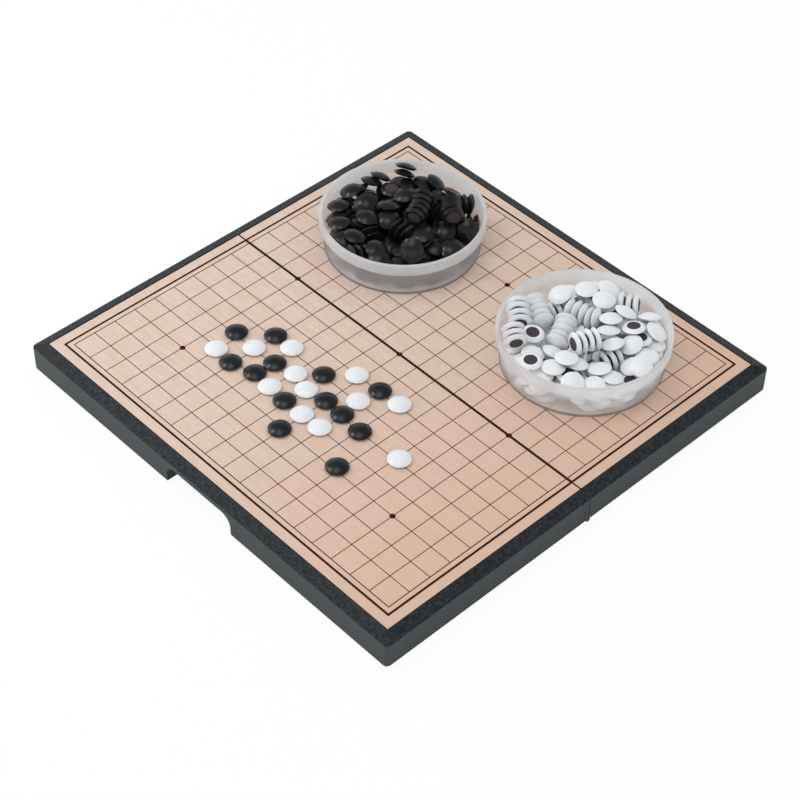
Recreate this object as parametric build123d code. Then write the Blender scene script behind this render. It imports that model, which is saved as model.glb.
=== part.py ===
from build123d import *
import math
import os
import numpy as np

# Magnetic folding go set, standing open with the playing side up. Lengths are in millimetres.
# +X runs along the fold, +Y from the half with the stones in play to the half with the bowls,
# +Z is up. The origin is the middle of the open board, on the plane that its feet stand on.
# Folded, the front half swings down and under the rear half, so that the two playing halves
# are outside and the two hollows face each other.

# Playing grid
grid_pitch = 14.1
grid_cells = 18
line_width = 0.42
edge_line_width = 0.55
frame_line_width = 1.3
frame_line_offset = 3.5
fold_line_width = 0.3
star_diameter = 3.3
star_cells = 6
ink_height = 0.05

# Case halves
rim_width = 6.5
sheet_clearance = 0.8
sheet_border = 9.8
lip_height = 0.3
ridge_drop = 2.1
case_height = 17.8
sheet_thickness = 0.4
plate_thickness = 0.5
deck_thickness = 1.8
outer_wall = 2.5
fold_wall = 2.0
seam_gap = 0.6
sheet_setback = 0.2
corner_radius = 2.8
lip_corner_radius = 0.5
ridge_round = 0.8
foot_round = 0.4
cavity_corner_radius = 1.5
groove_width = 0.5
groove_depth = 0.25
groove_offsets = (2.9, 5.1)

# Finger notch in the middle of each outer wall, with a cheek inside at each end that stiffens the wall
notch_width = 52.0
notch_roof_drop = 5.3
notch_corner_radius = 7.0
cheek_depth = 4.5
cheek_thickness = 1.6

# Ribs under the deck
rib_thickness = 1.2
rib_height = 2.0
rib_spacing = 70.0

# Feet that are also the closing pegs, and their sockets
peg_diameter = 4.0
peg_height = 1.6
socket_clearance = 0.3
socket_depth = 2.4
boss_diameter = 8.0
boss_inset = 8.0
front_peg_offset = 126.0
rear_peg_offset = 112.0

# Hinge
knuckle_radius = 1.45
knuckle_length = 5.4
knuckle_gap = 0.3
pin_radius = 0.7
pin_end_gap = 0.4
bore_end_wall = 0.2
press_clearance = 0.02
running_clearance = 0.06
relief_clearance = 0.35
closed_gap = 0.2

# Stones, flat below and domed above, with a magnet in the flat side. They are widest at a thin
# band a little above the flat side, and a rounded skirt leads from the flat side out to it.
stone_gap = 1.1
stone_height = 3.8
stone_skirt_width = 1.5
stone_skirt_height = 1.2
stone_band = 0.3
magnet_diameter = 7.5
magnet_thickness = 1.2
magnet_clearance = 0.05
seat_gap = 0.02
black_stone_total = 181
white_stone_total = 180

# Bowls
bowl_rim_radius = 48.5
bowl_base_radius = 45.6
bowl_height = 23.5
bowl_band_height = 6.7
bowl_band_step = 1.4
bowl_wall = 1.2
bowl_floor = 1.2
bowl_rim_width = 2.2
bowl_round = 0.5
bowl_step_round = 0.25
bowl_base_round = 1.4
black_bowl_centre = (-67.3, 65.7)
white_bowl_centre = (70.6, 71.2)

# Heaps of spare stones: flat layers at the bottom, then single stones and short stacks that are
# dropped one after the other, each from the best of several tries. Leans and turns are in radians.
flat_layers = 1
flat_spare = 0.1
pile_gap = 0.25
stack_gap = 0.3
stack_sizes = (1, 2, 3, 4, 5)
stack_shares = (0.80, 0.09, 0.05, 0.03, 0.03)
flipped_share = 0.3
single_lean = (0.25, 0.35)
stack_lean = (1.35, 0.25)
stack_wobble = 0.04
stack_slide = 0.5
first_try_count = 16
settle_round_count = 9
settle_try_count = 8
settle_turn = 0.22
settle_shift = 1.4
settle_easing = 0.5
crown = (5.0, -5.0)
crown_drop = 0.2
black_seed = 45
white_seed = 42

# Points on a stone that feel for its neighbours: how many on each edge and on the flat side, and
# on the dome how many at each share of the radius. Stones further apart than the reach never meet.
edge_feelers = 32
flat_feelers = 8
dome_feelers = ((0.8, 16), (0.45, 9), (0.0, 1))
neighbour_reach = 1.2

# Stones in play: the crossing that each lies on, counted from the centre along the fold and then
# towards the rear, and how far off it the stone was set down, the same ways, in stone gaps
black_in_play = [
    (-5, -4, -2.5, 1), (-4, -3, 0, 1), (-4, -5, -0.5, -2.5), (-3, -5, 0.5, 1.5), (-3, -4, 2, 0.5),
    (-1, -3, -1, 0), (1, -2, 0.5, 0), (-1, -5, -0.5, -0.5), (0, -4, 0.5, 1.5), (1, -4, 0, 1),
    (0, -6, -0.5, -2), (2, -4, 1.5, -0.5), (3, -6, -1.5, 1.5),
]
white_in_play = [
    (-5, -5, 0, -1.5), (-4, -4, -0.5, 0), (-3, -3, -0.5, 1), (-2, -4, 2, 3), (0, -2, -2.5, -1),
    (-2, -5, 0, 0.5), (-1, -4, 1, -0.5), (1, -3, -1.5, 0), (2, -2, 1, 0.5), (0, -5, -0.5, -0.5),
    (1, -5, -1, 0), (4, -4, 2, 1),
]

# Sizes that follow
grid_half = grid_pitch * grid_cells / 2
sheet_half = grid_half + sheet_border
lip_half = sheet_half + sheet_clearance
board_half = lip_half + rim_width
rim_z = peg_height
sheet_top = rim_z + case_height
lip_z = sheet_top + lip_height
ridge_z = sheet_top - ridge_drop
plate_top = sheet_top - sheet_thickness
deck_top = plate_top - plate_thickness
deck_bottom = deck_top - deck_thickness
axis_z = rim_z - closed_gap / 2
seam_half = seam_gap / 2
cavity_half = board_half - outer_wall
stone_seat = sheet_top + ink_height + seat_gap
stone_diameter = grid_pitch - stone_gap
stone_radius = stone_diameter / 2
stone_base_radius = stone_radius - stone_skirt_width
dome_height = stone_height - stone_skirt_height - stone_band
dome_radius = (stone_radius ** 2 + dome_height ** 2) / (2 * dome_height)
dome_centre = stone_height - dome_radius
skirt_centre = (stone_radius ** 2 + stone_skirt_height ** 2 - stone_base_radius ** 2) / (2 * stone_skirt_height)
skirt_radius = math.hypot(stone_base_radius, skirt_centre)
band_low = bowl_height - bowl_band_height
body_top_radius = bowl_rim_radius - bowl_band_step
flat_pitch = stone_diameter + 2 * pile_gap + flat_spare
drop_height = 3 * bowl_height

# How far a cutter runs past what it cuts, how close an edge lies to the height that it is picked
# by, and what stands in for a divisor of nought
past = 1.0
edge_match = 0.001
nearly_zero = 1e-12


def block(low, high):
    """A box from its lowest to its highest corner."""
    size = [b - a for a, b in zip(low, high)]
    return Pos(*low) * Box(*size, align=(Align.MIN, Align.MIN, Align.MIN))


def block_on_side(side, x_range, depth_range, z_range):
    """A box whose depth is counted from the seam towards one half: side is -1 front, 1 rear."""
    depths = sorted(side * d for d in depth_range)
    return block((x_range[0], depths[0], z_range[0]), (x_range[1], depths[1], z_range[1]))


def upright(radius, x, y, low, high):
    """A cylinder along Z."""
    return Pos(x, y, low) * Cylinder(radius, high - low, align=(Align.CENTER, Align.CENTER, Align.MIN))


def along_x(radius, x_low, x_high):
    """A cylinder along X on the hinge axis."""
    bar = Cylinder(radius, x_high - x_low, align=(Align.CENTER, Align.CENTER, Align.MIN))
    return Pos(x_low, 0, axis_z) * Rot(0, 90, 0) * bar


# Hinge stations: at each end of the fold three knuckles, front, rear and front again
def knuckle_spans(end):
    """X ranges of the three knuckles at one end of the fold, from the outside inwards."""
    spans = []
    outer = board_half
    for _ in range(3):
        inner = outer - knuckle_length
        spans.append(tuple(sorted((end * outer, end * inner))))
        outer = inner - knuckle_gap
    return spans


def pin_span(end):
    """X range of the hinge pin at one end of the fold."""
    spans = knuckle_spans(end)
    outer = board_half - pin_end_gap
    inner = min(abs(x) for x in spans[2]) + pin_end_gap
    return tuple(sorted((end * outer, end * inner)))


def bore_span(end, span):
    """X range of a knuckle's bore: the outermost one is blind towards the end of the case."""
    low, high = span
    if max(abs(low), abs(high)) >= board_half:
        return (low - past, high - bore_end_wall) if end > 0 else (low + bore_end_wall, high + past)
    return low - past, high + past


# Case halves
def board_block():
    """The whole open board as one block: straight walls, and a bevel from the ridge up to the lip.

    The ridge and the foot of the walls are rounded.
    """
    walls = Pos(0, 0, rim_z) * extrude(
        RectangleRounded(2 * board_half, 2 * board_half, corner_radius), ridge_z - rim_z)
    ridge = Pos(0, 0, ridge_z) * RectangleRounded(2 * board_half, 2 * board_half, corner_radius)
    lip = Pos(0, 0, lip_z) * RectangleRounded(2 * lip_half, 2 * lip_half, lip_corner_radius)
    whole = walls + loft([ridge.face(), lip.face()], ruled=True)
    for height, radius in ((ridge_z, ridge_round), (rim_z, foot_round)):
        whole = fillet([e for e in whole.edges() if abs(e.center().Z - height) < edge_match], radius)
    return whole


def finger_notch(side):
    """The cutter of the finger notch: open below, with round upper corners."""
    roof = sheet_top - notch_roof_drop
    half = notch_width / 2
    low = rim_z - past - notch_corner_radius
    shape = Pos(0, (roof + low) / 2) * RectangleRounded(2 * half, roof - low, notch_corner_radius)
    depth_low = cavity_half - past
    cutter = extrude(Plane.XZ * shape, -(outer_wall + 2 * past))
    shift = depth_low if side > 0 else -(depth_low + outer_wall + 2 * past)
    return Pos(0, shift, 0) * cutter


def case_half(side):
    """One half of the case: side is -1 for the front half and 1 for the rear half."""
    keep = block_on_side(side, (-board_half - past, board_half + past),
                         (seam_half, board_half + past), (rim_z - past, lip_z + past))
    shell = board_block() & keep
    shell -= block_on_side(side, (-lip_half, lip_half), (0, lip_half), (deck_top, lip_z + past))

    fold_inner = seam_half + fold_wall
    depth = cavity_half - fold_inner
    cavity = extrude(RectangleRounded(2 * cavity_half, depth, cavity_corner_radius),
                     deck_bottom - rim_z + past)
    shell -= Pos(0, side * (fold_inner + depth / 2), rim_z - past) * cavity

    rib_low = deck_bottom - rib_height
    rib_top = deck_bottom + deck_thickness / 2
    for x in (-rib_spacing, 0, rib_spacing):
        shell += block_on_side(side, (x - rib_thickness / 2, x + rib_thickness / 2),
                               (fold_inner - fold_wall / 2, cavity_half + outer_wall / 2), (rib_low, rib_top))
    middle = fold_inner + depth / 2
    shell += block_on_side(side, (-cavity_half - outer_wall / 2, cavity_half + outer_wall / 2),
                           (middle - rib_thickness / 2, middle + rib_thickness / 2), (rib_low, rib_top))

    notch_end = notch_width / 2
    for end in (-1, 1):
        cheek = sorted((end * notch_end, end * (notch_end + cheek_thickness)))
        shell += block_on_side(side, cheek, (cavity_half - cheek_depth, cavity_half + outer_wall / 2),
                               (rim_z, rib_top))

    peg_x = front_peg_offset if side < 0 else rear_peg_offset
    socket_x = rear_peg_offset if side < 0 else front_peg_offset
    boss_y = side * (board_half - boss_inset)
    for end in (-1, 1):
        for x in (peg_x, socket_x):
            shell += upright(boss_diameter / 2, end * x, boss_y, rim_z, rib_top)
        shell += upright(peg_diameter / 2, end * peg_x, boss_y, 0, rim_z + past)
        shell -= upright(peg_diameter / 2 + socket_clearance, end * socket_x, boss_y,
                         rim_z - past, rim_z + socket_depth)

    shell -= finger_notch(side)

    for end in (-1, 1):
        front_outer, rear_middle, front_inner = knuckle_spans(end)
        own = [front_outer, front_inner] if side < 0 else [rear_middle]
        other = [rear_middle] if side < 0 else [front_outer, front_inner]
        bore = pin_radius + (running_clearance if side < 0 else press_clearance)
        for low, high in other:
            shell -= along_x(knuckle_radius + relief_clearance, low - knuckle_gap, high + knuckle_gap)
        for low, high in own:
            shell += along_x(knuckle_radius, low, high)
        for span in own:
            shell -= along_x(bore, *bore_span(end, span))
        if side < 0:
            for offset in groove_offsets:
                face = end * board_half
                x_range = sorted((face - end * groove_depth, face + end * past))
                shell -= block_on_side(side, x_range,
                                       (seam_half + offset - groove_width / 2,
                                        seam_half + offset + groove_width / 2),
                                       (rim_z - past, lip_z))
    return shell.solid()


def hinge_pin(end):
    """The steel pin of the hinge at one end of the fold."""
    return along_x(pin_radius, *pin_span(end))


# Steel plate, printed sheet and printed ink of each half
def half_layer(side, low, high):
    """A flat layer in the recess of one half."""
    return block_on_side(side, (-sheet_half, sheet_half), (seam_half + sheet_setback, sheet_half), (low, high))


def ink_strip(x_range, y_range):
    """A flat strip of ink between two X and two Y values."""
    width = x_range[1] - x_range[0]
    height = y_range[1] - y_range[0]
    return Pos(x_range[0] + width / 2, y_range[0] + height / 2) * Rectangle(width, height)


def grid_ink(side):
    """The printed grid, frame line and star points of one half, as one thin raised layer."""
    edge = seam_half + sheet_setback
    half_frame = frame_line_width / 2
    frame_at = grid_half + frame_line_offset
    grid_end = grid_half + edge_line_width / 2

    def span(near, far):
        return tuple(sorted((side * near, side * far)))

    def half_line(number, last):
        return (edge_line_width if number in (0, last) else line_width) / 2

    strips = [ink_strip((-frame_at, frame_at), span(edge, edge + fold_line_width))]
    for row in range(grid_cells // 2):
        y = grid_half - row * grid_pitch
        half = half_line(row, grid_cells)
        strips.append(ink_strip((-grid_end, grid_end), span(y - half, y + half)))
    for column in range(grid_cells + 1):
        x = column * grid_pitch - grid_half
        half = half_line(column, grid_cells)
        strips.append(ink_strip((x - half, x + half), span(edge, grid_end)))
    for x in (-frame_at, frame_at):
        strips.append(ink_strip((x - half_frame, x + half_frame), span(edge, frame_at + half_frame)))
    strips.append(ink_strip((-frame_at - half_frame, frame_at + half_frame),
                            span(frame_at - half_frame, frame_at + half_frame)))
    keep = ink_strip((-board_half, board_half), span(edge, board_half))
    for x in (-star_cells, 0, star_cells):
        for y in (0, side * star_cells):
            dot = Pos(x * grid_pitch, y * grid_pitch) * Circle(star_diameter / 2)
            strips.append(dot & keep)
    ink = Sketch() + strips
    return Pos(0, 0, sheet_top) * extrude(ink, ink_height)


# Stones
def stone_cap():
    """The moulded stone, standing on its flat side at the origin, with a pocket for its magnet."""
    dome_angle = math.asin(stone_radius / dome_radius) / 2
    dome_middle = (dome_radius * math.sin(dome_angle), dome_centre + dome_radius * math.cos(dome_angle))
    skirt_angle = (math.asin(stone_base_radius / skirt_radius) + math.asin(stone_radius / skirt_radius)) / 2
    skirt_middle = (skirt_radius * math.sin(skirt_angle), skirt_centre - skirt_radius * math.cos(skirt_angle))
    band_top = stone_skirt_height + stone_band
    pocket = magnet_diameter / 2 + magnet_clearance
    pocket_top = magnet_thickness + magnet_clearance
    outline = Polyline((0, stone_height), (0, pocket_top), (pocket, pocket_top), (pocket, 0),
                       (stone_base_radius, 0))
    outline += ThreePointArc((stone_base_radius, 0), skirt_middle, (stone_radius, stone_skirt_height))
    outline += Line((stone_radius, stone_skirt_height), (stone_radius, band_top))
    outline += ThreePointArc((stone_radius, band_top), dome_middle, (0, stone_height))
    return revolve(Plane.XZ * make_face(outline), Axis.Z).solid()


def stone_magnet():
    """The magnet disc of a stone, flush with the stone's flat side at the origin."""
    disc = Cylinder(magnet_diameter / 2, magnet_thickness, align=(Align.CENTER, Align.CENTER, Align.MIN))
    return disc.solid()


def stone_in_play(cap, magnet, setting):
    """A stone with its magnet, standing on or near a crossing of the grid."""
    column, row, along, back = setting
    place = Location((column * grid_pitch + along * stone_gap, row * grid_pitch + back * stone_gap, stone_seat))
    return Compound([cap.moved(place), magnet.moved(place)])


# Heaps of spare stones
def ring(radius, height, count):
    """Points spread evenly on a level circle about Z."""
    angle = np.arange(count) * 2 * np.pi / count
    return np.stack([radius * np.cos(angle), radius * np.sin(angle), np.full(count, float(height))], axis=1)


def feeler_points():
    """Points all over a stone's surface, densest round its two edges, that feel for its neighbours."""
    rings = [ring(stone_base_radius, 0, edge_feelers), ring(stone_base_radius / 2, 0, flat_feelers),
             ring(stone_radius, stone_skirt_height + stone_band / 2, edge_feelers)]
    for share, count in dome_feelers:
        reach = share * stone_radius
        rings.append(ring(reach, dome_centre + math.sqrt(dome_radius ** 2 - reach ** 2), count))
    return np.concatenate(rings)


def turn_about(vectors):
    """Rotation matrices about the given vectors, by the vectors' lengths in radians."""
    angle = np.linalg.norm(vectors, axis=-1)[..., None, None]
    unit = vectors / np.maximum(angle[..., 0], nearly_zero)
    x, y, z = unit[..., 0], unit[..., 1], unit[..., 2]
    none = np.zeros_like(x)
    rows = [np.stack(row, -1) for row in ((none, -z, y), (z, none, -x), (-y, x, none))]
    cross = np.stack(rows, -2)
    return np.eye(3) + np.sin(angle) * cross + (1 - np.cos(angle)) * (cross @ cross)


def travel_to_stone(points, heading, turns, places):
    """How far the nearest of the points moves along the heading before it meets each stone.

    A stone is the space inside the spheres of its dome and its skirt and the cylinder of its band,
    and above its flat side, each grown by the pile's gap. A straight path is inside them all
    between the last entry and the first exit. The answer is infinite where no point meets the stone.
    """
    local = (points - places[..., None, :]) @ turns
    aim = (heading @ turns)[..., None, :]
    x, y, z = local[..., 0], local[..., 1], local[..., 2]
    dx, dy, dz = aim[..., 0], aim[..., 1], aim[..., 2]
    dz = np.where(np.abs(dz) < nearly_zero, nearly_zero, dz)
    flat = (-pile_gap - z) / dz
    across = np.maximum(dx ** 2 + dy ** 2, nearly_zero)
    lean = x * dx + y * dy
    reach = x ** 2 + y ** 2
    band = lean ** 2 - across * (reach - (stone_radius + pile_gap) ** 2)
    band_root = np.sqrt(np.maximum(band, 0))
    enter = np.maximum(np.where(dz > 0, flat, -np.inf), (-lean - band_root) / across)
    leave = np.minimum(np.where(dz > 0, np.inf, flat), (-lean + band_root) / across)
    meets = band > 0
    for centre, radius in ((dome_centre, dome_radius), (skirt_centre, skirt_radius)):
        above = z - centre
        ball_lean = lean + above * dz
        ball = ball_lean ** 2 - (reach + above ** 2 - (radius + pile_gap) ** 2)
        ball_root = np.sqrt(np.maximum(ball, 0))
        enter = np.maximum(enter, -ball_lean - ball_root)
        leave = np.minimum(leave, -ball_lean + ball_root)
        meets &= ball > 0
    return np.where(meets & (enter < leave), enter, np.inf).min(axis=-1)


class StonePile:
    """Stones heaped in a bowl, whose own origin is the middle of the bowl's underside."""

    def __init__(self, seed):
        self.random = np.random.default_rng(seed)
        self.feelers = feeler_points()
        self.turns = np.zeros((0, 3, 3))
        self.places = np.zeros((0, 3))
        inside = bowl_base_radius - bowl_wall
        radii = [inside - bowl_base_round, inside, body_top_radius - bowl_wall,
                 bowl_rim_radius - bowl_rim_width]
        # Seen from above, the wall at each height is no wider than the narrowest place over it
        self.wall_radii = np.minimum.accumulate(radii[::-1])[::-1]
        self.wall_heights = [bowl_floor, bowl_floor + bowl_base_round, band_low, bowl_height]

    def surface(self, turns, places):
        """The feeler points of stones at the given turns and places."""
        return self.feelers @ np.swapaxes(turns, -1, -2) + places[..., None, :]

    def fall(self, points, turns, places):
        """How far each trial stack falls before it meets the bowl or a stone that lies there."""
        radii = np.hypot(points[..., 0], points[..., 1]) + pile_gap
        ground = np.interp(radii, self.wall_radii, self.wall_heights) + pile_gap
        fall = (points[..., 2] - ground).min(axis=(1, 2))
        middles = places.mean(axis=1)
        spread = np.linalg.norm(places - middles[:, None], axis=-1).max()
        if len(self.places):
            apart = self.places[None, :, :2] - middles[:, None, :2]
            reach = spread + neighbour_reach * stone_diameter
            near = np.hypot(apart[..., 0], apart[..., 1]).min(axis=0) < reach
            if near.any():
                down = np.array([0.0, 0.0, -1.0])
                turned, placed = self.turns[near], self.places[near]
                onto = travel_to_stone(points[:, :, None], down, turned, placed)
                under = travel_to_stone(self.surface(turned, placed), -down,
                                        turns[:, :, None], places[:, :, None])
                fall = np.minimum(fall, np.minimum(onto, under).min(axis=(1, 2)))
        return np.where(radii.max(axis=(1, 2)) > self.wall_radii[-1], -np.inf, fall)

    def choose(self, turns, places):
        """The trial stack whose middle and top come to lie lowest, less what the crown gives it."""
        points = self.surface(turns, places)
        fall = self.fall(points, turns, places)
        middles = places.mean(axis=1)
        out = np.linalg.norm(middles[:, :2] - crown, axis=1) / self.wall_radii[-1]
        level = (middles[:, 2] + points[..., 2].max(axis=(1, 2))) / 2 + crown_drop * out ** 2
        height = np.where(np.isfinite(fall), level - fall, np.inf)
        best = int(np.argmin(height))
        return height[best], turns[best], places[best], fall[best]

    def first_stacks(self, size):
        """Trial stacks of one size, each with its own lean, held high above the bowl."""
        lean, spread = single_lean if size == 1 else stack_lean
        heading = self.random.uniform(0, 2 * np.pi, first_try_count)
        tilt = np.abs(self.random.normal(lean, spread, first_try_count))
        flipped = (size == 1) & (self.random.random(first_try_count) < flipped_share)
        tilt = np.where(flipped, np.pi - tilt, tilt)
        axes = np.stack([np.cos(heading) * tilt, np.sin(heading) * tilt, np.zeros(first_try_count)], -1)
        turns = np.repeat(turn_about(axes)[:, None], size, axis=1)
        places = np.zeros((first_try_count, size, 3))
        for step in range(1, size):
            turns[:, step] = turns[:, step - 1] @ turn_about(
                self.random.normal(0, stack_wobble, (first_try_count, 3)))
            slide = self.random.normal(0, stack_slide, (first_try_count, 3))
            slide[:, 2] = stone_height + stack_gap
            places[:, step] = places[:, step - 1] + np.einsum("kij,kj->ki", turns[:, step - 1], slide)
        places -= places.mean(axis=1, keepdims=True)
        points = self.surface(turns, places)
        room = self.wall_radii[-1] - pile_gap - np.hypot(points[..., 0], points[..., 1]).max(axis=(1, 2))
        radius = np.maximum(room, 0) * np.sqrt(self.random.random(first_try_count))
        angle = self.random.uniform(0, 2 * np.pi, first_try_count)
        high = np.full(first_try_count, drop_height)
        places += np.stack([radius * np.cos(angle), radius * np.sin(angle), high], -1)[:, None]
        return turns, places

    def lie(self, turns, places, fall):
        """Keep stones that have fallen this far."""
        self.turns = np.concatenate([self.turns, turns])
        self.places = np.concatenate([self.places, places - [0, 0, fall]])

    def lay_flat(self, number):
        """Lay one level layer on a honeycomb of places, each second layer over the first one's gaps."""
        row_pitch = flat_pitch * math.sqrt(3) / 2
        shift = number % 2
        room = self.wall_radii[1] - stone_radius - 2 * pile_gap
        steps = range(-math.ceil(room / row_pitch) - 1, math.ceil(room / row_pitch) + 2)
        for row in steps:
            for column in steps:
                x = (column + (row % 2) / 2 + shift / 2) * flat_pitch
                y = row * row_pitch + shift * flat_pitch / (2 * math.sqrt(3))
                if math.hypot(x, y) <= room:
                    turn = turn_about(np.array([[[np.pi * (self.random.random() < flipped_share), 0, 0]]]))
                    place = np.array([[[x, y, drop_height]]])
                    fall = self.fall(self.surface(turn, place), turn, place)
                    self.lie(turn[0], place[0], fall[0])

    def add(self, size):
        """Drop one stack, then let it settle by small turns and shifts that bring it lower."""
        height, turns, places, fall = self.choose(*self.first_stacks(size))
        for number in range(settle_round_count):
            ease = 1 / (1 + settle_easing * number)
            twist = turn_about(self.random.normal(0, settle_turn * ease, (settle_try_count, 3)))
            shift = self.random.normal(0, settle_shift * ease, (settle_try_count, 3))
            shift[:, 2] = 0
            middle = places.mean(axis=0)
            moved = np.einsum("kij,nj->kni", twist, places - middle) + middle + shift[:, None]
            trial = self.choose(twist[:, None] @ turns[None], moved)
            if trial[0] < height:
                height, turns, places, fall = trial
        self.lie(turns, places, fall)

    def fill(self, count):
        """Lay the flat layers, drop the other stones in stacks of mixed sizes, give all locations."""
        for number in range(flat_layers):
            self.lay_flat(number)
        while len(self.places) < count:
            size = int(self.random.choice(stack_sizes, p=stack_shares))
            self.add(min(size, count - len(self.places)))
        return [Location(Plane(tuple(place), x_dir=tuple(turn[:, 0]), z_dir=tuple(turn[:, 2])))
                for turn, place in zip(self.turns, self.places)]


# Bowls
def bowl():
    """A round bowl with a thicker band round its rim, its underside at the origin."""
    inner_top = bowl_rim_radius - bowl_rim_width
    corners = [
        (bowl_base_radius, 0), (body_top_radius, band_low), (bowl_rim_radius, band_low),
        (bowl_rim_radius, bowl_height), (inner_top, bowl_height),
        (body_top_radius - bowl_wall, band_low), (bowl_base_radius - bowl_wall, bowl_floor),
    ]
    rounds = [bowl_base_round, bowl_step_round, *[bowl_round] * 4, bowl_base_round]
    outline = FilletPolyline((0, 0), *corners, (0, bowl_floor), radius=rounds)
    outline += Line((0, bowl_floor), (0, 0))
    return revolve(Plane.XZ * make_face(outline), Axis.Z).solid()


os.makedirs("parts", exist_ok=True)


def write(name, shape):
    """Write one node's STEP file."""
    export_step(shape, f"parts/{name}.step")
    print(name, len(shape.solids()), round(shape.volume, 1))


write("front_case_half", case_half(-1))
write("rear_case_half", case_half(1))
write("left_hinge_pin", hinge_pin(-1))
write("right_hinge_pin", hinge_pin(1))
write("front_steel_plate", half_layer(-1, deck_top, plate_top))
write("rear_steel_plate", half_layer(1, deck_top, plate_top))
write("front_board_sheet", half_layer(-1, plate_top, sheet_top))
write("rear_board_sheet", half_layer(1, plate_top, sheet_top))
write("front_grid_print", grid_ink(-1))
write("rear_grid_print", grid_ink(1))
cap = stone_cap()
magnet = stone_magnet()
for number, setting in enumerate(black_in_play, 1):
    write(f"black_stone_{number:02d}", stone_in_play(cap, magnet, setting))
for number, setting in enumerate(white_in_play, 1):
    write(f"white_stone_{number:02d}", stone_in_play(cap, magnet, setting))

bowls = (
    ("black", black_bowl_centre, black_stone_total - len(black_in_play), black_seed),
    ("white", white_bowl_centre, white_stone_total - len(white_in_play), white_seed),
)
for colour, centre, spare, seed in bowls:
    stand = Location((centre[0], centre[1], stone_seat))
    places = [stand * place for place in StonePile(seed).fill(spare)]
    lower_count = spare // 2
    write(f"{colour}_bowl", bowl().moved(stand))
    write(f"{colour}_bowl_lower_stones", Compound([cap.moved(place) for place in places[:lower_count]]))
    write(f"{colour}_bowl_upper_stones", Compound([cap.moved(place) for place in places[lower_count:]]))
    write(f"{colour}_bowl_magnets", Compound([magnet.moved(place) for place in places]))
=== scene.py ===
import logging
import math
from dataclasses import dataclass
from enum import Enum

import bpy
import numpy as np
from mathutils import Matrix, Vector


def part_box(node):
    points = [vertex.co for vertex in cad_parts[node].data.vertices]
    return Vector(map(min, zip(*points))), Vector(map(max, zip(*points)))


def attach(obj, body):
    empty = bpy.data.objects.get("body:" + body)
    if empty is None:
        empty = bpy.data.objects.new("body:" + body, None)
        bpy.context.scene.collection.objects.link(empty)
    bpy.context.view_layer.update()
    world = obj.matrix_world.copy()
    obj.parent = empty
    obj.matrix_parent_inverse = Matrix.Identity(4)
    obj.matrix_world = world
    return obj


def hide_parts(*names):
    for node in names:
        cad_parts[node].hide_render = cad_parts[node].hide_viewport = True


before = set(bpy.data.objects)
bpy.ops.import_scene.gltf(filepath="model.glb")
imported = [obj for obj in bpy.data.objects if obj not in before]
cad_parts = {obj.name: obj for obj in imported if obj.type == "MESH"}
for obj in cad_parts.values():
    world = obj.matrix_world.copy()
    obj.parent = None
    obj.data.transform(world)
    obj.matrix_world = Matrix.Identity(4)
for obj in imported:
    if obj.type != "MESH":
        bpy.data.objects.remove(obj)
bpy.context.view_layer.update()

# Magnetic folding go set: finishes, small pieces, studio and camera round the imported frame.
# Lengths are in metres, in the frame's own axes. MM turns a size in millimetres into metres.
MM = 0.001
WHITE = (1.0, 1.0, 1.0, 1.0)
log = logging.getLogger("go_set")

# The curve of display values: straight below the knee, and a power of the offset value above it
DISPLAY_KNEE = 0.04045
DISPLAY_SLOPE = 12.92
DISPLAY_OFFSET = 0.055
DISPLAY_POWER = 2.4

# The sockets of a Mix node: the share, the two numbers or the two colours, and the mixed colour
SHARE = 0
FIRST_NUMBER, SECOND_NUMBER = 2, 3
FIRST_COLOUR, SECOND_COLOUR = 6, 7
MIXED_COLOUR = 2

Colour = tuple[float, float, float, float]
Range = tuple[float, float]


def colour(red: float, green: float, blue: float) -> Colour:
    """Turn display values from 0 to 255 into the linear colour that a shader works with.

    Args:
        red: the red value as a screen shows it.
        green: the green value as a screen shows it.
        blue: the blue value as a screen shows it.

    Returns:
        The linear colour, opaque. Each value is raised to the display's power after its offset,
        or divided by its slope where it is very dark.
    """
    shares = np.array([red, green, blue]) / 255
    curved = ((shares + DISPLAY_OFFSET) / (1 + DISPLAY_OFFSET)) ** DISPLAY_POWER
    straight = shares / DISPLAY_SLOPE
    return (*np.where(shares <= DISPLAY_KNEE, straight, curved).tolist(), 1.0)


class Side(Enum):
    """The two halves of the case."""

    FRONT = "front"
    REAR = "rear"


class StoneColour(Enum):
    """The two players' stones."""

    BLACK = "black"
    WHITE = "white"


class Grain(Enum):
    """How a noise is stretched: evenly, or in streaks along one axis."""

    EVEN = (1.0, 1.0, 1.0)
    ALONG_X = (0.04, 1.0, 1.0)


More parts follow.
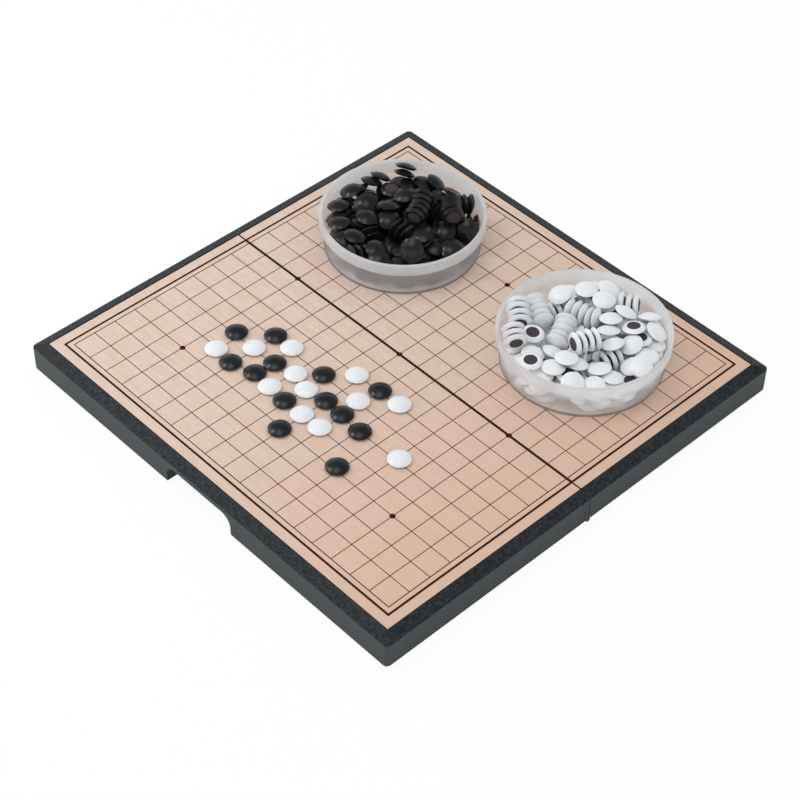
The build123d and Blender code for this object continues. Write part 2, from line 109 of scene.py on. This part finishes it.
# Node trees
class Recipe:
    """The node tree of one material, with short ways to add nodes and join them."""

    def __init__(self, name: str) -> None:
        """Make an empty material of this name, with its output and its place on the piece."""
        self.material = bpy.data.materials.new(name)
        self.material.use_nodes = True
        self.tree = self.material.node_tree
        self.tree.nodes.clear()
        self.output = self.add("ShaderNodeOutputMaterial")
        self.place = self.add("ShaderNodeTexCoord").outputs["Object"]

    def add(self, kind: str, inputs: dict[str | int, object] | None = None,
            **settings: object) -> bpy.types.Node:
        """Add a node.

        Args:
            kind: the node's type name.
            inputs: what goes into its sockets: another node's output, or a plain value.
            settings: the node's own settings, by name.

        Returns:
            The node.
        """
        node = self.tree.nodes.new(kind)
        for name, value in settings.items():
            setattr(node, name, value)
        for key, value in (inputs or {}).items():
            if isinstance(value, bpy.types.NodeSocket):
                self.tree.links.new(value, node.inputs[key])
            else:
                node.inputs[key].default_value = value
        return node

    def noise(self, size: float, detail: float = 2.0, grain: Grain = Grain.EVEN,
              warp: float = 0.0) -> bpy.types.NodeSocket:
        """Add a noise whose blotches are about this large, in metres.

        Args:
            size: the width of a blotch.
            detail: how many finer layers lie on it.
            grain: the direction that it is stretched in.
            warp: how much it is bent about.

        Returns:
            Its value, about 0.5 on average.
        """
        scaled = self.add("ShaderNodeMapping", {"Vector": self.place, "Scale": grain.value})
        texture = self.add("ShaderNodeTexNoise", {
            "Vector": scaled.outputs["Vector"], "Scale": 1 / size, "Detail": detail,
            "Distortion": warp})
        return texture.outputs["Fac"]

    def upright_share(self) -> bpy.types.NodeSocket:
        """How far the surface faces straight up or down, from 0 on a wall to 1 on a level face."""
        normal = self.add("ShaderNodeTexCoord").outputs["Normal"]
        height = self.add("ShaderNodeSeparateXYZ", {"Vector": normal}).outputs["Z"]
        return self.add("ShaderNodeMath", {0: height}, operation="ABSOLUTE").outputs[0]

    def spread(self, value: bpy.types.NodeSocket, low: float, high: float,
               start: float = 0.3, end: float = 0.7) -> bpy.types.NodeSocket:
        """Stretch a value over a range.

        Args:
            value: what is stretched, often a noise.
            low: what it becomes at start, and on the far side of it.
            high: what it becomes at end, and on the far side of it.
            start: the value that becomes low.
            end: the value that becomes high.

        Returns:
            The stretched value.
        """
        node = self.add("ShaderNodeMapRange", {
            "Value": value, "From Min": start, "From Max": end, "To Min": low, "To Max": high})
        return node.outputs["Result"]

    def between(self, share: bpy.types.NodeSocket, first: Colour | bpy.types.NodeSocket,
                second: Colour | bpy.types.NodeSocket) -> bpy.types.NodeSocket:
        """Mix two colours by a share from 0, all the first, to 1, all the second."""
        node = self.add("ShaderNodeMix", {SHARE: share, FIRST_COLOUR: first, SECOND_COLOUR: second},
                        data_type="RGBA")
        return node.outputs[MIXED_COLOUR]

    def bump(self, height: bpy.types.NodeSocket, depth: float, strength: float = 1.0,
             under: bpy.types.NodeSocket | None = None) -> bpy.types.NodeSocket:
        """Turn a height into a relief.

        Args:
            height: the height, from 0 to 1.
            depth: the relief's depth in metres.
            strength: how much of it counts.
            under: the normal of an earlier relief that it lies on.

        Returns:
            The normal of the relief.
        """
        inputs = {"Height": height, "Distance": depth, "Strength": strength}
        if under is not None:
            inputs["Normal"] = under
        return self.add("ShaderNodeBump", inputs).outputs["Normal"]

    def mix(self, share: float | bpy.types.NodeSocket, first: bpy.types.Node,
            second: bpy.types.Node) -> bpy.types.Node:
        """Mix two shaders by a share from 0, all the first, to 1, all the second."""
        return self.add("ShaderNodeMixShader", {0: share, 1: first.outputs[0], 2: second.outputs[0]})

    def surface(self, inputs: dict[str | int, object]) -> bpy.types.Material:
        """Finish the material with one principled shader that takes these inputs."""
        shader = self.add("ShaderNodeBsdfPrincipled", inputs)
        return self.finish(shader.outputs["BSDF"])

    def finish(self, shader: bpy.types.NodeSocket) -> bpy.types.Material:
        """Join a shader to the output and give the material."""
        self.tree.links.new(shader, self.output.inputs["Surface"])
        return self.material


# Finishes
@dataclass(frozen=True)
class MouldedCase:
    """Black plastic, mottled and grained where it faces up or down, and plain on the walls. The walls
    are painted paler, as painted light, and the edges carry a painted highlight.
    """

    deep: Colour = colour(22, 27, 32)
    pale: Colour = colour(48, 55, 60)
    # Painted light: the walls' paler colour stands in for the light that falls on them.
    wall: Colour = colour(62, 67, 69)
    # Painted highlight: the lighter colour laid along the rounded edges.
    painted_edge_highlight: Colour = colour(84, 90, 92)
    painted_light_wall_tilt: Range = (0.3, 0.75)
    grain_size: float = 1.1 * MM
    grain_depth: float = 0.06 * MM
    mottle_size: float = 1.6 * MM
    mottle_range: Range = (0.38, 0.66)
    edge_radius: float = 0.4 * MM
    edge_turn: Range = (0.85, 0.99)
    edge_share: float = 0.6
    roughness: Range = (0.45, 0.65)
    specular: float = 0.25

    def material(self) -> bpy.types.Material:
        """Build the node tree."""
        recipe = Recipe("moulded_case")
        grain = recipe.noise(self.grain_size, detail=3.0)
        mottle = recipe.noise(self.mottle_size, detail=4.0, warp=0.5)
        blend = recipe.spread(mottle, 0.0, 1.0, *self.mottle_range)
        grained = recipe.between(blend, self.deep, self.pale)
        # Painted light: faces that look up or down keep the dark mottle, and the walls take the paler
        # painted colour.
        level = recipe.spread(recipe.upright_share(), 0.0, 1.0, *self.painted_light_wall_tilt)
        body = recipe.between(level, self.wall, grained)
        # Painted highlight: where the bevel turns the normal, at the edges, the colour is lightened.
        rounded = recipe.add("ShaderNodeBevel", {"Radius": self.edge_radius}, samples=4)
        flat = recipe.add("ShaderNodeNewGeometry").outputs["Normal"]
        turn = recipe.add("ShaderNodeVectorMath", {0: rounded.outputs["Normal"], 1: flat},
                          operation="DOT_PRODUCT")
        edge = recipe.spread(turn.outputs["Value"], self.edge_share, 0.0, *self.edge_turn)
        return recipe.surface({
            "Base Color": recipe.between(edge, body, self.painted_edge_highlight),
            "Roughness": recipe.spread(grain, *self.roughness),
            "Normal": recipe.bump(grain, self.grain_depth),
            "Specular IOR Level": self.specular,
        })


@dataclass(frozen=True)
class PrintedSheet:
    """Pale printed sheet with the look of fine-grained wood, streaked along the fold.

    It is painted warmer and darker towards +X as painted shade, and dark brown on its side faces as
    painted shade in the seam at the fold.
    """

    cream: Colour = colour(227, 210, 198)
    pink: Colour = colour(224, 200, 186)
    # Painted shade: the warmer, darker colour towards +X.
    painted_warm_shade: Colour = colour(215, 181, 157)
    streak: Colour = colour(208, 177, 154)
    # Painted shade: the dark brown side faces stand in for the shade in the seam at the fold.
    painted_side_shade: Colour = colour(112, 84, 66)
    side_shade_tilt: Range = (0.4, 0.6)
    warm_from: float = -50 * MM
    warm_to: float = 130 * MM
    warm_share: float = 0.8
    patch_size: float = 6 * MM
    streak_width: float = 0.9 * MM
    streak_from: float = 0.42
    streak_share: float = 0.5
    fibre_width: float = 0.5 * MM
    speckle_size: float = 0.8 * MM
    speckle_share: float = 0.45
    pore_depth: float = 0.01 * MM
    roughness: Range = (0.42, 0.55)
    specular: float = 0.2

    def material(self) -> bpy.types.Material:
        """Build the node tree."""
        recipe = Recipe("printed_sheet")
        patches = recipe.noise(self.patch_size, detail=3.0, warp=0.4)
        streaks = recipe.noise(self.streak_width, detail=4.0, grain=Grain.ALONG_X, warp=0.15)
        fibres = recipe.noise(self.fibre_width, detail=2.0, grain=Grain.ALONG_X)
        ground = recipe.between(recipe.spread(patches, 0.0, 1.0), self.cream, self.pink)
        # Painted shade: the sheet turns warmer and darker along +X.
        along = recipe.add("ShaderNodeSeparateXYZ", {"Vector": recipe.place}).outputs["X"]
        warm_shade_share = recipe.spread(along, 0.0, self.warm_share, self.warm_from, self.warm_to)
        warm_shaded = recipe.between(warm_shade_share, ground, self.painted_warm_shade)
        speckle = recipe.spread(recipe.noise(self.speckle_size, detail=2.0), 0.0, self.speckle_share)
        flecked = recipe.between(speckle, warm_shaded, self.streak)
        lining = recipe.spread(streaks, 0.0, self.streak_share, start=self.streak_from)
        lined = recipe.between(lining, flecked, self.streak)
        # Painted shade: the side faces take the dark brown.
        face = recipe.spread(recipe.upright_share(), 0.0, 1.0, *self.side_shade_tilt)
        return recipe.surface({
            "Base Color": recipe.between(face, self.painted_side_shade, lined),
            "Roughness": recipe.spread(fibres, *self.roughness),
            "Normal": recipe.bump(fibres, self.pore_depth),
            "Specular IOR Level": self.specular,
        })


@dataclass(frozen=True)
class PrintingInk:
    """Dark brown ink, a little uneven where it lies on the sheet."""

    dark: Colour = colour(50, 26, 13)
    worn: Colour = colour(64, 38, 23)
    worn_share: float = 0.7
    blotch_size: float = 1.2 * MM
    roughness: Range = (0.5, 0.7)
    specular: float = 0.03

    def material(self) -> bpy.types.Material:
        """Build the node tree."""
        recipe = Recipe("printing_ink")
        blotches = recipe.noise(self.blotch_size, detail=3.0)
        return recipe.surface({
            "Base Color": recipe.between(recipe.spread(blotches, 0.0, self.worn_share),
                                         self.dark, self.worn),
            "Roughness": recipe.spread(blotches, *self.roughness),
            "Specular IOR Level": self.specular,
        })


@dataclass(frozen=True)
class PolishedStone:
    """Polished moulded stone with faint flow marks and hair scratches."""

    kind: StoneColour
    flow_size: float = 4 * MM
    scratch_width: float = 0.12 * MM
    scratch_depth: float = 0.002 * MM
    roughness: Range = (0.24, 0.34)
    specular: float = 0.5

    def tones(self) -> tuple[Colour, Colour]:
        """The darker and the lighter tone of this colour of stone."""
        if self.kind is StoneColour.BLACK:
            return colour(15, 17, 21), colour(24, 27, 32)
        return colour(229, 232, 236), colour(237, 240, 243)

    def material(self) -> bpy.types.Material:
        """Build the node tree."""
        recipe = Recipe(f"polished_{self.kind.value}_stone")
        flow = recipe.noise(self.flow_size, detail=2.0, warp=0.6)
        scratches = recipe.noise(self.scratch_width, detail=1.0, grain=Grain.ALONG_X)
        dark, light = self.tones()
        return recipe.surface({
            "Base Color": recipe.between(recipe.spread(flow, 0.0, 1.0), dark, light),
            "Roughness": recipe.spread(scratches, *self.roughness),
            "Normal": recipe.bump(scratches, self.scratch_depth),
            "Specular IOR Level": self.specular,
        })


@dataclass(frozen=True)
class FrostedPlastic:
    """Milky plastic, part clear and part scattering the light that meets it to both sides.

    It is milkier in the thick band round the rim, from the height where the band starts. What is
    seen through it is blurred. It takes only the share named shade of the light that it would
    otherwise keep from what is behind it.
    """

    band_foot: float
    clear: Colour = colour(244, 247, 249)
    milky: Colour = colour(234, 238, 241)
    cloud_size: float = 7 * MM
    frost_size: float = 0.35 * MM
    frost_depth: float = 0.01 * MM
    roughness: Range = (0.2, 0.32)
    wall_cover: float = 0.25
    band_cover: float = 0.6
    band_blend: float = 0.8 * MM
    let_through: float = 0.3
    blur: float = 0.3
    bending: float = 1.4
    shade: float = 0.1

    def material(self) -> bpy.types.Material:
        """Build the node tree."""
        recipe = Recipe("frosted_plastic")
        clouds = recipe.noise(self.cloud_size, detail=2.0)
        frost = recipe.noise(self.frost_size, detail=2.0)
        milk = recipe.between(recipe.spread(clouds, 0.0, 1.0), self.clear, self.milky)
        front = recipe.add("ShaderNodeBsdfPrincipled", {
            "Base Color": milk,
            "Roughness": recipe.spread(frost, *self.roughness),
            "Normal": recipe.bump(frost, self.frost_depth),
        })
        back = recipe.add("ShaderNodeBsdfTranslucent", {"Color": milk})
        blurred = recipe.add("ShaderNodeBsdfRefraction", {
            "Color": WHITE, "Roughness": self.blur, "IOR": self.bending})
        path = recipe.add("ShaderNodeLightPath").outputs
        lighting = recipe.add("ShaderNodeMath", {0: path["Is Shadow Ray"], 1: path["Is Diffuse Ray"]},
                              operation="MAXIMUM")
        straight = recipe.add("ShaderNodeBsdfTransparent")
        glass = recipe.mix(lighting.outputs[0], blurred, straight)
        haze = recipe.mix(self.let_through, front, back)
        height = recipe.add("ShaderNodeSeparateXYZ", {"Vector": recipe.place}).outputs["Z"]
        cover = recipe.spread(height, self.wall_cover, self.band_cover,
                              self.band_foot - self.band_blend, self.band_foot)
        kept = recipe.spread(lighting.outputs[0], 1.0, self.shade, 0.0, 1.0)
        held = recipe.add("ShaderNodeMath", {0: cover, 1: kept}, operation="MULTIPLY")
        return recipe.finish(recipe.mix(held.outputs[0], glass, haze).outputs["Shader"])


@dataclass(frozen=True)
class SinteredMagnet:
    """Dull ferrite, speckled brown and slate, with a grain like fired clay."""

    brown: Colour = colour(74, 58, 60)
    slate: Colour = colour(56, 54, 60)
    patch_size: float = 8 * MM
    grain_size: float = 0.25 * MM
    grain_depth: float = 0.02 * MM
    roughness: Range = (0.5, 0.75)

    def material(self) -> bpy.types.Material:
        """Build the node tree."""
        recipe = Recipe("sintered_magnet")
        patches = recipe.noise(self.patch_size, detail=1.0)
        grain = recipe.noise(self.grain_size, detail=2.0)
        return recipe.surface({
            "Base Color": recipe.between(recipe.spread(patches, 0.0, 1.0), self.brown, self.slate),
            "Roughness": recipe.spread(grain, *self.roughness),
            "Normal": recipe.bump(grain, self.grain_depth),
        })


@dataclass(frozen=True)
class DrawnSteel:
    """Bright steel with fine lines along the fold."""

    bright: Colour = colour(206, 207, 208)
    dull: Colour = colour(172, 174, 176)
    line_width: float = 0.2 * MM
    line_depth: float = 0.004 * MM
    roughness: Range = (0.25, 0.4)

    def material(self) -> bpy.types.Material:
        """Build the node tree."""
        recipe = Recipe("drawn_steel")
        lines = recipe.noise(self.line_width, detail=3.0, grain=Grain.ALONG_X)
        return recipe.surface({
            "Base Color": recipe.between(recipe.spread(lines, 0.0, 1.0), self.bright, self.dull),
            "Metallic": 1.0,
            "Roughness": recipe.spread(lines, *self.roughness),
            "Normal": recipe.bump(lines, self.line_depth),
        })


@dataclass(frozen=True)
class PlatedSteel:
    """Thin plated sheet steel, cloudy on its faces, and dark on its side faces as painted shade in the
    seam at the fold.
    """

    bright: Colour = colour(190, 192, 194)
    dull: Colour = colour(160, 162, 165)
    # Painted shade: the dark side faces stand in for the shade in the seam at the fold.
    painted_side_shade: Colour = colour(46, 42, 40)
    side_shade_tilt: Range = (0.4, 0.6)
    cloud_size: float = 5 * MM
    grain_size: float = 0.3 * MM
    grain_depth: float = 0.003 * MM
    roughness: Range = (0.3, 0.45)

    def material(self) -> bpy.types.Material:
        """Build the node tree."""
        recipe = Recipe("plated_steel")
        clouds = recipe.noise(self.cloud_size, detail=3.0)
        grain = recipe.noise(self.grain_size, detail=2.0)
        # Painted shade: the side faces take the dark colour and are not metallic.
        face = recipe.spread(recipe.upright_share(), 0.0, 1.0, *self.side_shade_tilt)
        plating = recipe.between(recipe.spread(clouds, 0.0, 1.0), self.bright, self.dull)
        return recipe.surface({
            "Base Color": recipe.between(face, self.painted_side_shade, plating),
            "Metallic": face,
            "Roughness": recipe.spread(grain, *self.roughness),
            "Normal": recipe.bump(grain, self.grain_depth),
        })


@dataclass(frozen=True)
class StudioFloor:
    """White floor that the camera sees only faintly, so that what lies below it shows too."""

    white: Colour = colour(250, 250, 250)
    seen_through: float = 0.94

    def material(self) -> bpy.types.Material:
        """Build the node tree."""
        recipe = Recipe("studio_floor")
        path = recipe.add("ShaderNodeLightPath").outputs
        camera = recipe.add("ShaderNodeMath", {0: path["Is Camera Ray"], 1: self.seen_through},
                            operation="MULTIPLY")
        clear = recipe.add("ShaderNodeMath", {0: camera.outputs[0], 1: path["Is Shadow Ray"]},
                           operation="MAXIMUM")
        paint = recipe.add("ShaderNodeBsdfDiffuse", {"Color": self.white})
        glass = recipe.add("ShaderNodeBsdfTransparent")
        return recipe.finish(recipe.mix(clear.outputs[0], paint, glass).outputs["Shader"])


# Meshes
def rounded_profile(corners: np.ndarray, radii: np.ndarray, steps: int) -> np.ndarray:
    """Round the inner corners of a profile with arcs.

    At a corner the two sides leave along unit vectors u and v. The arc's centre lies on their
    bisector, and its points are blended on the circle from the first side's touching point to
    the second side's, by sines of the shares of the turn.

    Args:
        corners: the profile's corner points, one (radius, height) a row.
        radii: the radius at each corner but the first and the last.
        steps: how many parts each arc has.

    Returns:
        The points of the rounded profile, ends included.
    """
    before, here, after = corners[:-2], corners[1:-1], corners[2:]
    u = (before - here) / np.linalg.norm(before - here, axis=1, keepdims=True)
    v = (after - here) / np.linalg.norm(after - here, axis=1, keepdims=True)
    half = np.arccos(np.clip((u * v).sum(axis=1), -1, 1)) / 2
    bisector = (u + v) / np.linalg.norm(u + v, axis=1, keepdims=True)
    centre = here + bisector * (radii / np.sin(half))[:, None]
    start = here + u * (radii / np.tan(half))[:, None] - centre
    end = here + v * (radii / np.tan(half))[:, None] - centre
    turn = (math.pi - 2 * half)[:, None]
    share = np.linspace(0, 1, steps + 1)[None, :]
    first = (np.sin((1 - share) * turn) / np.sin(turn))[..., None]
    second = (np.sin(share * turn) / np.sin(turn))[..., None]
    arcs = centre[:, None] + first * start[:, None] + second * end[:, None]
    return np.concatenate([corners[:1], arcs.reshape(-1, 2), corners[-1:]])


def lathe(name: str, profile: np.ndarray, turns: int, foot: Vector) -> bpy.types.Object:
    """Turn a profile about an upright axis into a closed piece.

    The point at radius r, height z and turn a is (r cos a, r sin a, z) from the foot. The first
    and last profile points lie on the axis and are one vertex each, so the poles are closed.

    Args:
        name: the piece's name.
        profile: rows of (radius, height), from the axis below, round the outside, to the axis above.
        turns: how many parts the full turn has.
        foot: the point of the axis at height nought.

    Returns:
        The piece, with its place in its mesh.
    """
    rings = profile[1:-1]
    angle = np.arange(turns) * 2 * math.pi / turns
    radius, height = rings[:, 0][None, :], rings[:, 1][None, :]
    grid = np.stack([radius * np.cos(angle)[:, None], radius * np.sin(angle)[:, None],
                     height + 0 * angle[:, None]], axis=-1)
    count = len(rings)
    poles = np.array([[0, 0, profile[0, 1]], [0, 0, profile[-1, 1]]])
    vertices = np.concatenate([grid.reshape(-1, 3), poles]) + np.array(foot)
    here = np.arange(turns)[:, None] * count + np.arange(count)[None, :]
    there = np.roll(here, -1, axis=0)
    quads = np.stack([here[:, :-1], there[:, :-1], there[:, 1:], here[:, 1:]], axis=-1).reshape(-1, 4)
    below = np.stack([np.full(turns, turns * count), there[:, 0], here[:, 0]], axis=-1)
    above = np.stack([np.full(turns, turns * count + 1), here[:, -1], there[:, -1]], axis=-1)
    mesh = bpy.data.meshes.new(name)
    mesh.from_pydata(vertices.tolist(), [], quads.tolist() + below.tolist() + above.tolist())
    mesh.polygons.foreach_set("use_smooth", np.ones(len(mesh.polygons), dtype=bool))
    mesh.update()
    piece = bpy.data.objects.new(name, mesh)
    bpy.context.scene.collection.objects.link(piece)
    return piece


def dress(piece: bpy.types.Object, material: bpy.types.Material) -> None:
    """Give a piece or a carried-over node one material in place of what it came with."""
    if not piece.material_slots:
        piece.data.materials.append(material)
    for slot in piece.material_slots:
        slot.material = material


# Sub-assemblies
@dataclass
class CaseHalf:
    """One half of the case with its steel plate, printed sheet and printed lines."""

    side: Side
    case: bpy.types.Material
    plate: bpy.types.Material
    sheet: bpy.types.Material
    ink: bpy.types.Material

    def build(self) -> None:
        """Dress the four nodes of this half."""
        half = self.side.value
        finishes = {"case_half": self.case, "steel_plate": self.plate,
                    "board_sheet": self.sheet, "grid_print": self.ink}
        for part, material in finishes.items():
            dress(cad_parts[f"{half}_{part}"], material)
        log.info("%s half: %d nodes dressed", half, len(finishes))


@dataclass
class Hinge:
    """The two steel pins along the fold."""

    steel: bpy.types.Material
    pins: tuple[str, str] = ("left_hinge_pin", "right_hinge_pin")

    def build(self) -> None:
        """Dress the pins."""
        for pin in self.pins:
            dress(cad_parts[pin], self.steel)
        log.info("hinge: %d pins dressed", len(self.pins))


@dataclass
class StoneBowl:
    """A round frosted bowl with its heap of spare stones and their magnets."""

    kind: StoneColour
    plastic: bpy.types.Material
    stone: bpy.types.Material
    magnet: bpy.types.Material
    base_radius: float = 45.6 * MM
    wall: float = 1.2 * MM
    floor: float = 1.2 * MM
    band_height: float = 6.7 * MM
    band_step: float = 1.4 * MM
    rim_width: float = 2.2 * MM
    channel_width: float = 0.8 * MM
    channel_depth: float = 0.3 * MM
    base_round: float = 1.4 * MM
    rim_round: float = 0.5 * MM
    lip_round: float = 0.3 * MM
    step_round: float = 0.25 * MM
    bead_round: float = 0.12 * MM
    arc_steps: int = 5
    turns: int = 192

    def profile(self, rim_radius: float, height: float) -> np.ndarray:
        """The bowl's section, from the axis underneath, round the rim, to the axis inside.

        Args:
            rim_radius: the outer radius of the rim, from the frame.
            height: the bowl's height, from the frame.

        Returns:
            Rows of (radius, height). The flat rim has a shallow channel between two beads.
        """
        band_low = height - self.band_height
        body_top = rim_radius - self.band_step
        inner_top = rim_radius - self.rim_width
        bead = (self.rim_width - self.channel_width) / 2
        low_rim = height - self.channel_depth
        corners = np.array([
            (0, 0), (self.base_radius, 0), (body_top, band_low), (rim_radius, band_low),
            (rim_radius, height), (rim_radius - bead, height), (rim_radius - bead, low_rim),
            (inner_top + bead, low_rim), (inner_top + bead, height), (inner_top, height),
            (body_top - self.wall, band_low), (self.base_radius - self.wall, self.floor),
            (0, self.floor)])
        radii = np.array([self.base_round, self.step_round, *[self.rim_round] * 2,
                          *[self.bead_round] * 4, self.lip_round, self.rim_round, self.base_round])
        return rounded_profile(corners, radii, self.arc_steps)

    def build(self) -> None:
        """Build the bowl in place of its node, and dress the stones and magnets in it."""
        name = self.kind.value
        low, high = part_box(f"{name}_bowl")
        middle = (low + high) / 2
        shell = lathe(f"{name}_bowl_shell", self.profile((high.x - low.x) / 2, high.z - low.z),
                      self.turns, Vector((middle.x, middle.y, low.z)))
        dress(shell, self.plastic)
        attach(shell, f"{name}_bowl_full")
        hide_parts(f"{name}_bowl")
        for node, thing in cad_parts.items():
            if node.startswith(f"{name}_bowl") and node.endswith("stones"):
                dress(thing, self.stone)
        dress(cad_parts[f"{name}_bowl_magnets"], self.magnet)
        log.info("%s bowl: shell built, heap dressed", name)


@dataclass
class StonesInPlay:
    """The stones of one colour on the board, each with the face of its magnet."""

    kind: StoneColour
    stone: bpy.types.Material
    magnet: bpy.types.Material
    face_radius: float = 3.75 * MM
    face_thickness: float = 0.012 * MM
    turns: int = 48

    def build(self) -> None:
        """Dress each stone and lay its magnet's face under it."""
        radius, deep = self.face_radius, self.face_thickness
        disc = np.array([(0, -deep), (radius, -deep), (radius, 0), (0, 0)])
        stones = [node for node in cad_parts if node.startswith(f"{self.kind.value}_stone_")]
        for node in stones:
            dress(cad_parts[node], self.stone)
            low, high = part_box(node)
            middle = (low + high) / 2
            face = lathe(f"{node}_magnet_face", disc, self.turns,
                         Vector((middle.x, middle.y, low.z)))
            dress(face, self.magnet)
            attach(face, node)
        log.info("%s stones in play: %d", self.kind.value, len(stones))


# Studio
@dataclass
class Lamp:
    """A square soft light that looks at the middle of the board."""

    name: str
    azimuth: float
    elevation: float
    level: float
    size: float = 0.9
    distance: float = 1.6

    def build(self, target: Vector) -> None:
        """Place the lamp.

        Args:
            target: the point that it shines on. There, a white surface that faces the lamp gets
                this share of full white, so its power is the level times pi squared times the
                distance squared.
        """
        data = bpy.data.lights.new(self.name, "AREA")
        data.size = self.size
        data.energy = self.level * (math.pi * self.distance) ** 2
        azimuth, elevation = math.radians(self.azimuth), math.radians(self.elevation)
        towards = Vector((math.sin(azimuth) * math.cos(elevation),
                          -math.cos(azimuth) * math.cos(elevation), math.sin(elevation)))
        lamp = bpy.data.objects.new(self.name, data)
        lamp.location = target + towards * self.distance
        lamp.rotation_euler = towards.to_track_quat("Z", "Y").to_euler()
        bpy.context.scene.collection.objects.link(lamp)


@dataclass
class Studio:
    """Floor, soft lamps and an even white surround."""

    surround: float = 0.76
    zenith: float = 0.25
    zenith_from: float = 0.6
    floor_size: float = 12.0
    lamps: tuple[Lamp, ...] = (
        Lamp("overhead_lamp", azimuth=10.0, elevation=78.0, level=0.14, size=0.5, distance=1.0),
        Lamp("key_lamp", azimuth=-50.0, elevation=48.0, level=0.16, size=0.34, distance=1.3),
        Lamp("side_lamp", azimuth=-62.0, elevation=16.0, level=0.12, size=0.25, distance=0.6),
    )

    def build(self, target: Vector) -> None:
        """Build the floor, the surround and the lamps round a point of the board."""
        half = self.floor_size / 2
        mesh = bpy.data.meshes.new("studio_floor")
        mesh.from_pydata([(-half, -half, 0), (half, -half, 0), (half, half, 0), (-half, half, 0)],
                         [], [(0, 1, 2, 3)])
        floor = bpy.data.objects.new("studio_floor", mesh)
        bpy.context.scene.collection.objects.link(floor)
        dress(floor, StudioFloor().material())
        self.surround_world()
        for lamp in self.lamps:
            lamp.build(target)
        log.info("studio: %d lamps", len(self.lamps))

    def surround_world(self) -> None:
        """Make a world that is white where it is seen, and even and dimmer where it lights.

        Where it is mirrored it is white at the horizon and below, and dark towards the zenith.
        """
        world = bpy.data.worlds.new("surround")
        world.use_nodes = True
        tree = world.node_tree
        tree.nodes.clear()
        path = tree.nodes.new("ShaderNodeLightPath").outputs
        direction = tree.nodes.new("ShaderNodeSeparateXYZ")
        tree.links.new(tree.nodes.new("ShaderNodeTexCoord").outputs["Generated"], direction.inputs[0])
        mirrored = tree.nodes.new("ShaderNodeMapRange")
        tree.links.new(direction.outputs["Z"], mirrored.inputs["Value"])
        mirrored.inputs["From Max"].default_value = self.zenith_from
        mirrored.inputs["To Min"].default_value = 1.0
        mirrored.inputs["To Max"].default_value = self.zenith
        seen = tree.nodes.new("ShaderNodeMath")
        seen.operation = "MAXIMUM"
        tree.links.new(path["Is Camera Ray"], seen.inputs[0])
        tree.links.new(path["Is Transmission Ray"], seen.inputs[1])
        glossy = tree.nodes.new("ShaderNodeMix")
        glossy.inputs[FIRST_NUMBER].default_value = self.surround
        tree.links.new(path["Is Glossy Ray"], glossy.inputs[SHARE])
        tree.links.new(mirrored.outputs["Result"], glossy.inputs[SECOND_NUMBER])
        strength = tree.nodes.new("ShaderNodeMix")
        strength.inputs[SECOND_NUMBER].default_value = 1.0
        tree.links.new(seen.outputs[0], strength.inputs[SHARE])
        tree.links.new(glossy.outputs[0], strength.inputs[FIRST_NUMBER])
        background = tree.nodes.new("ShaderNodeBackground")
        background.inputs["Color"].default_value = WHITE
        tree.links.new(strength.outputs[0], background.inputs["Strength"])
        output = tree.nodes.new("ShaderNodeOutputWorld")
        tree.links.new(background.outputs[0], output.inputs["Surface"])
        bpy.context.scene.world = world


@dataclass
class PhotographCamera:
    """The camera, as worked out from the printed grid of nineteen lines."""

    azimuth: float = 45.948
    elevation: float = 44.956
    roll: float = 1.044
    distance: float = 1132.53 * MM
    aim: tuple[float, float] = (26.15 * MM, -24.24 * MM)
    focal_pixels: float = 2102.2
    image_pixels: float = 800.0
    sensor: float = 36.0

    def build(self, height: float) -> None:
        """Set up the camera, aimed at a point of the board's top.

        Args:
            height: the height of the board's top.
        """
        azimuth, elevation, roll = (math.radians(v) for v in (self.azimuth, self.elevation, self.roll))
        back = Vector((math.sin(azimuth) * math.cos(elevation),
                       -math.cos(azimuth) * math.cos(elevation), math.sin(elevation)))
        level = Vector((math.cos(azimuth), math.sin(azimuth), 0))
        upward = back.cross(level)
        right = level * math.cos(roll) + upward * math.sin(roll)
        up = upward * math.cos(roll) - level * math.sin(roll)
        data = bpy.data.cameras.new("photograph_camera")
        data.sensor_width = self.sensor
        data.lens = self.focal_pixels / self.image_pixels * self.sensor
        camera = bpy.data.objects.new("photograph_camera", data)
        place = Vector((*self.aim, height)) + back * self.distance
        camera.matrix_world = Matrix((
            (right.x, up.x, back.x, place.x), (right.y, up.y, back.y, place.y),
            (right.z, up.z, back.z, place.z), (0, 0, 0, 1)))
        bpy.context.scene.collection.objects.link(camera)
        bpy.context.scene.camera = camera


def main() -> None:
    """Build the studio and dress the set, piece by piece."""
    logging.basicConfig(level=logging.INFO)
    bpy.context.scene.view_settings.view_transform = "Standard"
    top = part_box("front_board_sheet")[1].z
    PhotographCamera().build(top)
    Studio().build(Vector((0, 0, top)))
    case, sheet, ink = MouldedCase().material(), PrintedSheet().material(), PrintingInk().material()
    plate, magnet = PlatedSteel().material(), SinteredMagnet().material()
    plastic = FrostedPlastic(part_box("black_bowl")[1].z - StoneBowl.band_height).material()
    for side in Side:
        CaseHalf(side, case, plate, sheet, ink).build()
    Hinge(DrawnSteel().material()).build()
    for kind in StoneColour:
        stone = PolishedStone(kind).material()
        StoneBowl(kind, plastic, stone, magnet).build()
        StonesInPlay(kind, stone, magnet).build()


if __name__ == "__main__":
    main()
